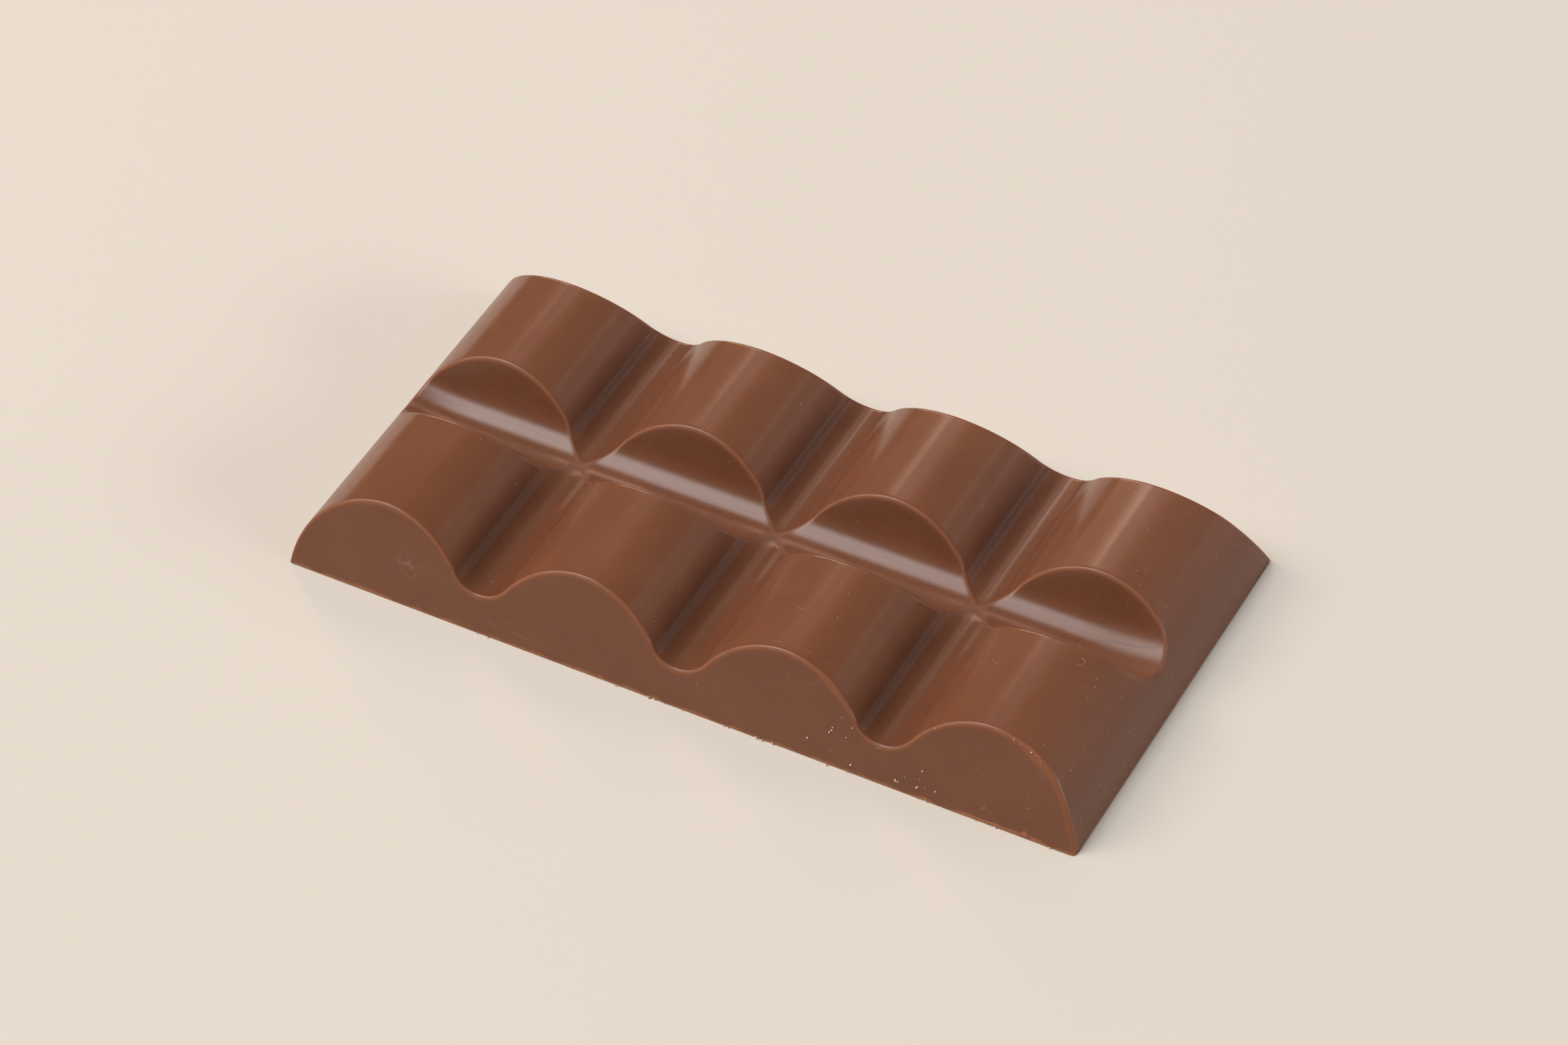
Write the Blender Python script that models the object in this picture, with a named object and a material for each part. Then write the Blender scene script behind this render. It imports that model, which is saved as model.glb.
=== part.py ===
"""A moulded chocolate bar: rounded crests along its length, one lengthwise groove.

Metres, +Z up. X runs along the bar, Y across it, and the flat back lies at z = 0.
The bar is the overlap of two outlines. The outline along the length is a chain of
tangent arcs: crests, valleys and a steeper slope down to each end. The outline across
the width has drafted long sides and a round-bottomed groove with the same draft.
Where the two outlines cross, the rim is rounded.
"""
import math

import bmesh
import bpy

# Whole bar
BAR_LENGTH = 0.1000
BAR_WIDTH = 0.0499
CREST_HEIGHT = 0.01045

# Outline along the length: crests on either side of a middle valley
CREST_PITCH = 0.02554
CRESTS_EACH_SIDE = 2
CREST_RADIUS = 0.01168
VALLEY_HEIGHT = 0.00413

# End slope: a tighter shoulder arc, then a long flat arc down to a small upright lip
SHOULDER_START = math.radians(33.0)
SHOULDER_END = math.radians(52.0)
SHOULDER_RADIUS = 0.0080
END_LIP = 0.00035

# Outline across the width
DRAFT = math.radians(23.06)
GROOVE_TOP_HALF_WIDTH = 0.0055
GROOVE_FLOOR = 0.00403

# Rounding of every rim
RIM_RADIUS = 0.00045
RIM_SHARE_OF_FACE = 0.4

# Facets
CREST_STEP = math.radians(6.2)
VALLEY_STEP = math.radians(9.0)
END_STEP = math.radians(4.5)
RIM_SEGMENTS = 4
GROOVE_SEGMENTS = 9
GROOVE_END_DEPTHS = (0.0012, 0.0006, 0.0003, 0.0001, 0.0)
GROOVE_END_HALF_WIDTH = 0.0005
LEAST_DEPTH = 0.000001
SHARP_EDGE = math.radians(45.0)

# Milk chocolate
COLOUR = (0.175, 0.072, 0.038, 1.0)
ROUGHNESS = 0.38


def arc(centre_x, centre_z, radius, start, stop, step):
    """Points on an arc between two angles from the vertical, without the first one.

    A positive radius is a crest and a negative one a valley. Each point is
    (x, z, slope), and the slope is always given as a positive angle.
    """
    count = max(1, math.ceil(abs(stop - start) / step))
    points = []
    for i in range(1, count + 1):
        angle = start + (stop - start) * i / count
        x = centre_x + abs(radius) * math.sin(angle)
        z = centre_z + radius * math.cos(angle)
        points.append((x, z, abs(angle)))
    return points


def end_slope(crest_x):
    """Shoulder and long slope from the last crest to the end of the bar."""
    crest_centre = CREST_HEIGHT - CREST_RADIUS
    start_x = crest_x + CREST_RADIUS * math.sin(SHOULDER_START)
    start_z = crest_centre + CREST_RADIUS * math.cos(SHOULDER_START)
    shoulder_x = start_x - SHOULDER_RADIUS * math.sin(SHOULDER_START)
    shoulder_z = start_z - SHOULDER_RADIUS * math.cos(SHOULDER_START)
    points = arc(shoulder_x, shoulder_z, SHOULDER_RADIUS, SHOULDER_START, SHOULDER_END, END_STEP)

    # The long arc leaves the shoulder tangentially and passes through the top of the lip
    x, z, slope = points[-1]
    run = BAR_LENGTH / 2 - x
    fall = z - END_LIP
    inward = fall * math.cos(slope) - run * math.sin(slope)
    radius = (run ** 2 + fall ** 2) / (2 * inward)
    centre_x = x - radius * math.sin(slope)
    centre_z = z - radius * math.cos(slope)
    last_angle = math.acos((END_LIP - centre_z) / radius)

    # Stations follow closely where the groove runs out of the slope
    marks = [slope]
    marks += [math.acos((GROOVE_FLOOR + depth - centre_z) / radius) for depth in GROOVE_END_DEPTHS]
    marks.append(last_angle)
    for start, stop in zip(marks, marks[1:]):
        points += arc(centre_x, centre_z, radius, start, stop, END_STEP)
    return points


def length_outline():
    """Stations (x, height, slope) from one end of the bar to the other."""
    drop = CREST_HEIGHT - VALLEY_HEIGHT
    centres = ((CREST_PITCH / 2) ** 2 + drop ** 2) / (2 * drop)
    valley_radius = centres - CREST_RADIUS
    lean = math.asin(CREST_PITCH / 2 / centres)
    crest_centre = CREST_HEIGHT - CREST_RADIUS
    valley_centre = VALLEY_HEIGHT + valley_radius

    half = [(0.0, VALLEY_HEIGHT, 0.0)]
    half += arc(0.0, valley_centre, -valley_radius, 0.0, lean, VALLEY_STEP)
    for i in range(CRESTS_EACH_SIDE):
        crest_x = (i + 0.5) * CREST_PITCH
        last = i == CRESTS_EACH_SIDE - 1
        stop = SHOULDER_START if last else lean
        half += arc(crest_x, crest_centre, CREST_RADIUS, -lean, 0.0, CREST_STEP)
        half += arc(crest_x, crest_centre, CREST_RADIUS, 0.0, stop, CREST_STEP)
        if last:
            half += end_slope(crest_x)
        else:
            valley_x = crest_x + CREST_PITCH / 2
            half += arc(valley_x, valley_centre, -valley_radius, -lean, lean, VALLEY_STEP)

    other = [(-x, z, slope) for x, z, slope in half[:0:-1]]
    return other + half


def groove_radius():
    """Radius that makes the groove's round bottom tangent to its drafted walls."""
    foot = GROOVE_TOP_HALF_WIDTH - (CREST_HEIGHT - GROOVE_FLOOR) * math.tan(DRAFT)
    return foot * math.cos(DRAFT) / (1 - math.sin(DRAFT))


GROOVE_RADIUS = groove_radius()
GROOVE_ARC = math.pi / 2 - DRAFT


def groove_point(travel):
    """(y, z, slope) on the groove, a distance along it from its lowest line."""
    arc_length = GROOVE_RADIUS * GROOVE_ARC
    angle = min(travel, arc_length) / GROOVE_RADIUS
    wall = max(0.0, travel - arc_length)
    y = GROOVE_RADIUS * math.sin(angle) + wall * math.cos(angle)
    z = GROOVE_FLOOR + GROOVE_RADIUS * (1 - math.cos(angle)) + wall * math.sin(angle)
    return y, z, angle


def groove_travel(height):
    """Distance along the groove from its lowest line up to a height."""
    arc_rise = GROOVE_RADIUS * (1 - math.cos(GROOVE_ARC))
    rise = height - GROOVE_FLOOR
    if rise < arc_rise:
        return GROOVE_RADIUS * math.acos(1 - rise / GROOVE_RADIUS)
    return GROOVE_RADIUS * GROOVE_ARC + (rise - arc_rise) / math.cos(DRAFT)


def rim_setbacks(wall_slope, top_slope):
    """How far a rolling ball's rounding reaches along the wall and along the top."""
    steep = math.sin(wall_slope)
    meeting = math.cos(wall_slope) * math.cos(top_slope)
    along_top = RIM_RADIUS * (1 - meeting) / steep
    return along_top / math.cos(top_slope), along_top, math.sqrt((1 + meeting) / 2)


def rim(start, corner, end, weight):
    """Conic arc from start to end, both included, that would meet at the corner."""
    points = []
    for i in range(RIM_SEGMENTS + 1):
        t = i / RIM_SEGMENTS
        a = (1 - t) ** 2
        b = 2 * weight * t * (1 - t)
        c = t ** 2
        total = a + b + c
        y = (a * start[0] + b * corner[0] + c * end[0]) / total
        z = (a * start[1] + b * corner[1] + c * end[1]) / total
        points.append((y, z))
    return points


def outer_rim(height, slope):
    """Rounding between the drafted long side and the top, at one station."""
    corner = (BAR_WIDTH / 2 - height * math.tan(DRAFT), height)
    down, across, weight = rim_setbacks(math.pi / 2 - DRAFT, slope)
    down = min(down, RIM_SHARE_OF_FACE * height / math.cos(DRAFT))
    start = (corner[0] + down * math.sin(DRAFT), height - down * math.cos(DRAFT))
    end = (corner[0] - across, height)
    return rim(start, corner, end, weight)


def groove_rim(height, slope):
    """Rounding between the top and the groove, and the travel where it starts."""
    edge = groove_travel(height)
    edge_y, _, edge_slope = groove_point(edge)
    down, across, weight = rim_setbacks(edge_slope, slope)
    down = min(down, RIM_SHARE_OF_FACE * edge)
    across = min(across, RIM_SHARE_OF_FACE * edge)
    y, z, wall_slope = groove_point(edge - down)
    corner = (y + (height - z) / math.tan(wall_slope), height)
    return rim((y, z), corner, (edge_y + across, height), weight), edge - down


def half_section(height, slope):
    """Points (y, z) from the foot of the long side to the middle of the bar."""
    points = [(BAR_WIDTH / 2, 0.0)]
    points += outer_rim(height, slope)
    if height > GROOVE_FLOOR + LEAST_DEPTH:
        rounding, travel = groove_rim(height, slope)
        points += rounding[::-1]
        for i in range(GROOVE_SEGMENTS - 1, -1, -1):
            y, z, _ = groove_point(travel * i / GROOVE_SEGMENTS)
            points.append((y, z))
    else:
        # Beyond the groove's end its points lie on the level top line
        flat = RIM_SEGMENTS + GROOVE_SEGMENTS
        points += [(GROOVE_END_HALF_WIDTH * i / flat, height) for i in range(flat, -1, -1)]
    return points


def section(height, slope):
    """The whole section, from one foot over the top to the other."""
    half = half_section(height, slope)
    return half + [(-y, z) for y, z in half[-2::-1]]


def chocolate_material():
    """Milk chocolate with a satin shine."""
    material = bpy.data.materials.new("milk_chocolate")
    material.use_nodes = True
    shader = material.node_tree.nodes["Principled BSDF"]
    shader.inputs["Base Color"].default_value = COLOUR
    shader.inputs["Roughness"].default_value = ROUGHNESS
    shader.inputs["Metallic"].default_value = 0.0
    return material


def chocolate_bar():
    """The bar, lofted through its sections and closed by its back and two end lips."""
    bm = bmesh.new()
    rings = []
    for x, height, slope in length_outline():
        rings.append([bm.verts.new((x, y, z)) for y, z in section(height, slope)])
    for ring, after in zip(rings, rings[1:]):
        for i in range(len(ring) - 1):
            bm.faces.new((ring[i], ring[i + 1], after[i + 1], after[i]))
    near_foot = [ring[-1] for ring in rings]
    far_foot = [ring[0] for ring in rings]
    bm.faces.new(near_foot + far_foot[::-1])
    bm.faces.new(rings[0])
    bm.faces.new(rings[-1])
    bmesh.ops.recalc_face_normals(bm, faces=bm.faces)

    mesh = bpy.data.meshes.new("chocolate_bar")
    bm.to_mesh(mesh)
    bm.free()
    mesh.shade_smooth()
    mesh.set_sharp_from_angle(angle=SHARP_EDGE)
    mesh.materials.append(chocolate_material())
    bar = bpy.data.objects.new("chocolate_bar", mesh)
    bpy.context.scene.collection.objects.link(bar)
    return bar


def main():
    for old in list(bpy.data.objects):
        bpy.data.objects.remove(old)
    chocolate_bar()


main()
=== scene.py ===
import math

import bmesh
import bpy
import numpy as np
from mathutils import Euler, Matrix, Vector


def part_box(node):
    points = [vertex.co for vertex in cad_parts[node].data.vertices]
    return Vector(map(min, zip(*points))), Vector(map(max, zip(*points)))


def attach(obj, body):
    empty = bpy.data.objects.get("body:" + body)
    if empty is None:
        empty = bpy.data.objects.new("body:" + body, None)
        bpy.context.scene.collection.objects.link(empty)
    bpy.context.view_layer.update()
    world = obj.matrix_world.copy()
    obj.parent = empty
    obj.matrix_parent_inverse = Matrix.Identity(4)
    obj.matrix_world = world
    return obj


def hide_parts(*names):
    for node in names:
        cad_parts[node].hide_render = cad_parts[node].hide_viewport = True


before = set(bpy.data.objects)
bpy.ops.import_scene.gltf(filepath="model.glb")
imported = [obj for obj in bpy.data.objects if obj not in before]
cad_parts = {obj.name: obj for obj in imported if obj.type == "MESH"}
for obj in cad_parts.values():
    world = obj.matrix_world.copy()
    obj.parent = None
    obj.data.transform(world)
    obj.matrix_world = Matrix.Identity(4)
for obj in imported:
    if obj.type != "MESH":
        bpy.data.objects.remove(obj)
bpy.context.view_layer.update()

# Lengths are in millimetres in the form below, and in metres once they reach Blender
MM = 0.001
low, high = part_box("chocolate_bar")
LENGTH = (high.x - low.x) / MM
WIDTH = (high.y - low.y) / MM
CREST_HEIGHT = (high.z - low.z) / MM

# Outline along the length
CREST_PITCH = 25.54
CRESTS_EACH_SIDE = 2
CREST_RADIUS = 11.68
CREST_CENTRE = CREST_HEIGHT - CREST_RADIUS
VALLEY_HEIGHT = 4.13
OUTLINE_STEP = 0.05

# Right end: a tighter shoulder arc, then a long flat arc down to a small upright lip
SHOULDER_START = math.radians(33.0)
SHOULDER_END = math.radians(52.0)
SHOULDER_RADIUS = 8.0
END_LIP = 0.35

# Outline across the width, with the groove's floor level with the valleys
DRAFT = math.radians(23.06)
GROOVE_TOP_HALF_WIDTH = 5.5
GROOVE_FLOOR = VALLEY_HEIGHT
GROOVE_ARC = math.pi / 2 - DRAFT
GROOVE_FOOT = GROOVE_TOP_HALF_WIDTH - (CREST_HEIGHT - GROOVE_FLOOR) * math.tan(DRAFT)
GROOVE_RADIUS = GROOVE_FOOT * math.cos(DRAFT) / (1 - math.sin(DRAFT))

# The groove's floor curls up towards both ends
GROOVE_CURL_START = 40.5
GROOVE_CURL_RUN = 6.0
GROOVE_CURL_RISE = 0.38
GROOVE_CURL_LIMIT = 1.3

# Rounding of the rims: the blur of every crease, and how far in height each rim is eased before it
RIM_BLUR = 0.16
NEAR_GROOVE_REACH = 0.30
FAR_GROOVE_REACH = 0.15
LEAST_REACH = 0.000001

# Stretches of the near rim that are worn rounder: centre and half width along X, and the reach
WORN_RIM = ((18.8, 4.5, 0.9), (43.6, 4.5, 1.1), (-6.5, 3.0, 0.4))

# The near right corner is worn round
CORNER_START = 44.5
CORNER_REACH = 1.8

# Relief that makes the moulded surface a little uneven: size, spread along X, spread along Y
UNEVENNESS = ((0.006, 4.0, 7.0), (0.0007, 0.9, 1.8), (0.0003, 0.22, 9.0))
RELIEF_SEED = 7

# Height field that the fine surface is read from
CELL = 0.05
MARGIN = 1.5
END_GAP = 0.001

# Samples from which the groove's width is read, and how far past its rim they go
WIDTH_SAMPLES = 4000
PAST_GROOVE = 1.0

# Fine surface: station spacing, and columns of each stretch of half a section
STATION_STEP = 0.26
END_INSET = 0.02
SIDE_COLUMNS = 22
RIM_COLUMNS = 12
TOP_COLUMNS = 34
GROOVE_COLUMNS = 20
GROOVE_SAMPLES = 200
BASE_COLUMNS = 16

# How far the close columns reach from a rim, and the share of the face beside it that they may take
RIM_REACH_DOWN = 0.50
RIM_REACH_TOP = 0.70
RIM_SHARE_OF_SIDE = 0.6
RIM_SHARE_OF_GROOVE = 0.5
LEAST_GROOVE = 0.4

# Foot of the bar: where the read surface stops, and points (outwards, height) down to the back
FOOT_HEIGHT = 0.12
BASE_ROUNDING = ((0.02, 0.06), (0.01, 0.02), (-0.03, 0.0), (-0.5, 0.0))
SHARP_EDGE = math.radians(50.0)

# Marks for the material: how soon a rounded rim counts in full, the slope in degrees from which a
# flank that faces left is duller and darker with painted shade, and the height below which a hollow
# is darker with painted shade
RIM_SPREAD = 1.8
FLANK_START = 26.0
FLANK_CHANGE = 14.0
HOLLOW_TOP = 6.8
HOLLOW_CHANGE = 2.2


def arc(centre_x, centre_z, radius, start, stop, step):
    """Points (x, z) on an arc between two angles from the vertical, without the first."""
    count = max(1, math.ceil(abs(stop - start) * abs(radius) / step))
    points = []
    for i in range(1, count + 1):
        angle = start + (stop - start) * i / count
        points.append((centre_x + abs(radius) * math.sin(angle), centre_z + radius * math.cos(angle)))
    return points


def end_slope(crest_x, step):
    """Shoulder and long slope from the last crest to the bar's right end."""
    start_x = crest_x + CREST_RADIUS * math.sin(SHOULDER_START)
    start_z = CREST_CENTRE + CREST_RADIUS * math.cos(SHOULDER_START)
    shoulder_x = start_x - SHOULDER_RADIUS * math.sin(SHOULDER_START)
    shoulder_z = start_z - SHOULDER_RADIUS * math.cos(SHOULDER_START)
    points = arc(shoulder_x, shoulder_z, SHOULDER_RADIUS, SHOULDER_START, SHOULDER_END, step)

    # The long arc leaves the shoulder tangentially and passes through the top of the lip
    x, z = points[-1]
    run = LENGTH / 2 - x
    fall = z - END_LIP
    inward = fall * math.cos(SHOULDER_END) - run * math.sin(SHOULDER_END)
    radius = (run ** 2 + fall ** 2) / (2 * inward)
    centre_x = x - radius * math.sin(SHOULDER_END)
    centre_z = z - radius * math.cos(SHOULDER_END)
    last_angle = math.acos((END_LIP - centre_z) / radius)
    points += arc(centre_x, centre_z, radius, SHOULDER_END, last_angle, step)
    points.append((LENGTH / 2 + END_LIP / math.tan(last_angle), 0.0))
    return points


def round_end(crest_x, step):
    """The last crest's own arc, carried on down to the base, as at the bar's left end."""
    foot_angle = math.acos(-CREST_CENTRE / CREST_RADIUS)
    return arc(crest_x, CREST_CENTRE, CREST_RADIUS, SHOULDER_START, foot_angle, step)


def length_outline(step):
    """(x, height) from one end of the bar to the other, a step apart along the outline."""
    drop = CREST_HEIGHT - VALLEY_HEIGHT
    centres = ((CREST_PITCH / 2) ** 2 + drop ** 2) / (2 * drop)
    valley_radius = centres - CREST_RADIUS
    lean = math.asin(CREST_PITCH / 2 / centres)
    valley_centre = VALLEY_HEIGHT + valley_radius
    sides = []
    for end in (round_end, end_slope):
        half = [(0.0, VALLEY_HEIGHT)]
        half += arc(0.0, valley_centre, -valley_radius, 0.0, lean, step)
        for i in range(CRESTS_EACH_SIDE):
            crest_x = (i + 0.5) * CREST_PITCH
            last = i == CRESTS_EACH_SIDE - 1
            stop = SHOULDER_START if last else lean
            half += arc(crest_x, CREST_CENTRE, CREST_RADIUS, -lean, stop, step)
            if last:
                half += end(crest_x, step)
            else:
                valley_x = crest_x + CREST_PITCH / 2
                half += arc(valley_x, valley_centre, -valley_radius, -lean, lean, step)
        sides.append(half)
    left, right = sides
    return np.array([(-x, z) for x, z in left[:0:-1]] + right)


OUTLINE = length_outline(OUTLINE_STEP)


def wave(x):
    """Height of the outline along the length, carried on below the base past the ends."""
    xs, zs = OUTLINE.T
    before = np.maximum(xs[0] - x, 0.0) * (zs[1] - zs[0]) / (xs[1] - xs[0])
    after = np.maximum(x - xs[-1], 0.0) * (zs[-2] - zs[-1]) / (xs[-1] - xs[-2])
    return np.interp(x, xs, zs) - before - after


def side(y):
    """Height of the drafted long sides over a place across the bar."""
    return (WIDTH / 2 - np.abs(y)) / math.tan(DRAFT)


def groove(y):
    """Height of the lengthwise groove over a place across the bar."""
    y = np.abs(y)
    foot = GROOVE_RADIUS * math.sin(GROOVE_ARC)
    rise = GROOVE_RADIUS * (1 - math.cos(GROOVE_ARC))
    bottom = GROOVE_RADIUS - np.sqrt(GROOVE_RADIUS ** 2 - np.minimum(y, foot) ** 2)
    return GROOVE_FLOOR + np.where(y < foot, bottom, rise + (y - foot) / math.tan(DRAFT))


def eased(first, second, reach):
    """The lower of two heights, with the crease between them eased over a reach."""
    overlap = np.maximum(reach - np.abs(first - second), 0.0)
    return np.minimum(first, second) - overlap ** 2 / (4 * np.maximum(reach, LEAST_REACH))


def swell(x, centre, half_width):
    """1 at a place along the bar, falling smoothly to 0 at the half width."""
    return np.cos(np.clip((x - centre) / half_width, -1.0, 1.0) * math.pi / 2) ** 2


def groove_curl(x):
    """How much higher the groove lies near the bar's ends."""
    run = np.maximum(np.abs(x) - GROOVE_CURL_START, 0.0) / GROOVE_CURL_RUN
    return GROOVE_CURL_RISE * np.minimum(run, GROOVE_CURL_LIMIT) ** 2


def rim_wear(xs):
    """How far the near rim's easing reaches, in height, along the bar."""
    reach = CORNER_REACH * np.clip((xs - CORNER_START) / (LENGTH / 2 - CORNER_START), 0.0, 1.0)
    for centre, half_width, size in WORN_RIM:
        reach += size * swell(xs, centre, half_width)
    return reach


def groove_half_width(height):
    """Half the groove's width at a height, and 0 below its floor."""
    ys = np.linspace(0.0, GROOVE_TOP_HALF_WIDTH + PAST_GROOVE, WIDTH_SAMPLES)
    return float(np.interp(height, groove(ys), ys))


def on_near_side(x, z):
    """Place on the near long side."""
    return Vector((x, z * math.tan(DRAFT) - WIDTH / 2, z))


def on_top(x, y):
    """Place on the rounded top."""
    return Vector((x, y, float(wave(x))))


def on_groove(x, y):
    """Place in the groove."""
    return Vector((x, y, float(groove(y) + groove_curl(x))))


def smooth_noise(rng, shape, along_x, along_y):
    """Random relief of unit size whose bumps have the given spreads, in millimetres."""
    freq_x = np.fft.fftfreq(shape[0], CELL)[:, None]
    freq_y = np.fft.rfftfreq(shape[1], CELL)[None, :]
    keep = np.exp(-2 * (math.pi * along_x * freq_x) ** 2 - 2 * (math.pi * along_y * freq_y) ** 2)
    field = np.fft.irfft2(np.fft.rfft2(rng.standard_normal(shape)) * keep, s=shape)
    return field / field.std()


def blurred(field, spread):
    """The field with its creases rounded by a bell-shaped average, spread in millimetres."""
    freq_x = np.fft.fftfreq(field.shape[0], CELL)[:, None]
    freq_y = np.fft.rfftfreq(field.shape[1], CELL)[None, :]
    keep = np.exp(-2 * (math.pi * spread) ** 2 * (freq_x ** 2 + freq_y ** 2))
    return np.fft.irfft2(np.fft.rfft2(field) * keep, s=field.shape)


def height_field():
    """Grid coordinates, the surface's height, and how much rounding lowered each place."""
    xs = np.arange(-LENGTH / 2 - MARGIN, LENGTH / 2 + MARGIN, CELL)
    ys = np.arange(-WIDTH / 2 - MARGIN, WIDTH / 2 + MARGIN, CELL)
    top = wave(xs)[:, None]
    sides = side(ys)[None, :]
    channel = groove(ys)[None, :] + groove_curl(xs)[:, None]
    sharp = np.minimum(np.minimum(top, sides), channel)
    is_near = (ys < 0.0)[None, :]
    rim_reach = is_near * rim_wear(xs)[:, None]
    groove_reach = np.where(is_near, NEAR_GROOVE_REACH, FAR_GROOVE_REACH)
    rounded = blurred(eased(eased(top, sides, rim_reach), channel, groove_reach), RIM_BLUR)

    # The blur also lowers the steep ends a little, which doesn't count as a rounded rim
    lowered = top - blurred(np.broadcast_to(top, sharp.shape), RIM_BLUR)
    rounding = sharp - rounded - np.where(sharp < top, 0.0, lowered)

    rng = np.random.default_rng(RELIEF_SEED)
    for size, along_x, along_y in UNEVENNESS:
        rounded += size * smooth_noise(rng, rounded.shape, along_x, along_y)
    return xs, ys, rounded, rounding


def read_field(field, xs, ys, x, y):
    """The field between its grid points, always with a next one to go to."""
    i = np.clip((x - xs[0]) / CELL, 0, len(xs) - 1 - END_GAP)
    j = np.clip((y - ys[0]) / CELL, 0, len(ys) - 1 - END_GAP)
    i0, j0 = i.astype(int), j.astype(int)
    u, v = i - i0, j - j0
    near = field[i0, j0] * (1 - u) + field[i0 + 1, j0] * u
    far = field[i0, j0 + 1] * (1 - u) + field[i0 + 1, j0 + 1] * u
    return near * (1 - v) + far * v


def half_columns(height, foot, curl):
    """Places across half of one section, from the foot of the side to the middle."""
    rim_y = WIDTH / 2 - height * math.tan(DRAFT)
    down = min(RIM_REACH_DOWN, RIM_SHARE_OF_SIDE * (foot - rim_y))
    groove_y = max(groove_half_width(height - curl), LEAST_GROOVE)
    groove_start = groove_y - min(RIM_REACH_DOWN, RIM_SHARE_OF_GROOVE * groove_y)
    marks = (foot, rim_y + down, rim_y - RIM_REACH_TOP, groove_y + RIM_REACH_TOP, groove_start)
    counts = (SIDE_COLUMNS, RIM_COLUMNS, TOP_COLUMNS, RIM_COLUMNS)
    ys = [np.linspace(a, b, n, endpoint=False) for a, b, n in zip(marks, marks[1:], counts)]

    # Even steps along the groove's curve rather than across it
    across = np.linspace(0.0, groove_start, GROOVE_SAMPLES)
    travel = np.cumsum(np.hypot(np.diff(across), np.diff(groove(across))))
    travel = np.concatenate([[0.0], travel])
    ys.append(np.interp(np.linspace(travel[-1], 0.0, GROOVE_COLUMNS + 1), travel, across))
    return np.concatenate(ys)


def surface_marks(x, ys, zs, worn):
    """What the material needs to know about one section's places, each from 0 to 1."""
    height = float(wave(x))
    in_groove = groove(ys) + groove_curl(x) < height
    on_wall = side(ys) < height
    rise = math.degrees(math.atan(float(wave(x + CELL) - wave(x - CELL)) / (2 * CELL)))
    steep = np.clip((rise - FLANK_START) / FLANK_CHANGE, 0.0, 1.0)
    low_down = np.clip((HOLLOW_TOP - zs) / HOLLOW_CHANGE, 0.0, 1.0)
    return {
        "rim": np.clip(RIM_SPREAD * worn / RIM_BLUR, 0.0, 1.0),
        "groove": 1.0 * in_groove,
        "wall": 1.0 * on_wall,
        "flank": np.where(in_groove | on_wall, 0.0, steep),
        "hollow": np.where(on_wall, 0.0, low_down),
    }


def section(x, xs, ys, field, rounding):
    """One closed section as points (x, y, z), and its marks."""
    column = read_field(field, xs, ys, np.full(len(ys), x), ys)
    middle = len(ys) // 2
    far_foot = np.interp(-FOOT_HEIGHT, -column[middle:], ys[middle:])
    near_foot = np.interp(FOOT_HEIGHT, column[:middle], ys[:middle])
    height, curl = float(wave(x)), float(groove_curl(x))
    far = half_columns(height, far_foot, curl)
    near = -half_columns(height, -near_foot, curl)[::-1]
    across = np.concatenate([far, near[1:]])
    along = np.full(len(across), x)
    top = read_field(field, xs, ys, along, across)
    worn = read_field(rounding, xs, ys, along, across)

    out, base_z = np.array(BASE_ROUNDING).T
    base_near = near_foot - out
    base_far = far_foot + out[::-1]
    back = np.linspace(base_near[-1], base_far[0], BASE_COLUMNS + 1)[1:-1]
    ring_y = np.concatenate([across, base_near, back, base_far])
    ring_z = np.concatenate([top, base_z, 0 * back, base_z[::-1]])
    worn = np.concatenate([worn, np.zeros(len(ring_y) - len(worn))])
    points = np.stack([np.full(len(ring_y), x), ring_y, ring_z], 1)
    return points, surface_marks(x, ring_y, ring_z, worn)


def chocolate_mesh():
    """The bar's fine surface, lofted through its sections, with its marks as attributes."""
    grid = height_field()
    stations = length_outline(STATION_STEP)[:, 0]
    stations[0] += END_INSET
    stations[-1] -= END_INSET
    sections = [section(x, *grid) for x in stations]
    rings = np.array([points for points, _ in sections])
    count, around = rings.shape[:2]
    index = np.arange(count * around).reshape(count, around)
    after = np.roll(index, -1, axis=1)
    quads = np.stack([index[:-1], after[:-1], after[1:], index[1:]], -1).reshape(-1, 4)
    faces = quads.tolist()
    faces.append(index[0][::-1].tolist())
    faces.append(index[-1].tolist())
    mesh = bpy.data.meshes.new("moulded_bar")
    mesh.from_pydata((rings.reshape(-1, 3) * MM).tolist(), [], faces)
    for name in sections[0][1]:
        values = np.concatenate([marks[name] for _, marks in sections]).astype(np.float32)
        mesh.attributes.new(name, "FLOAT", "POINT").data.foreach_set("value", values)
    mesh.validate()
    mesh.shade_smooth()
    mesh.set_sharp_from_angle(angle=SHARP_EDGE)
    return mesh


# How much of its width a stroke has at full strength, and how much of its size a speck
STROKE_CORE = 0.3
SPECK_CORE = 0.5

# Share of each finer layer of a pattern, and stretches of a pattern from its one colour to the other
NOISE_ROUGHNESS = 0.55
PATCH_RANGE = (0.3, 0.7)
WIDE_PATCH_RANGE = (0.2, 0.8)


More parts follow.
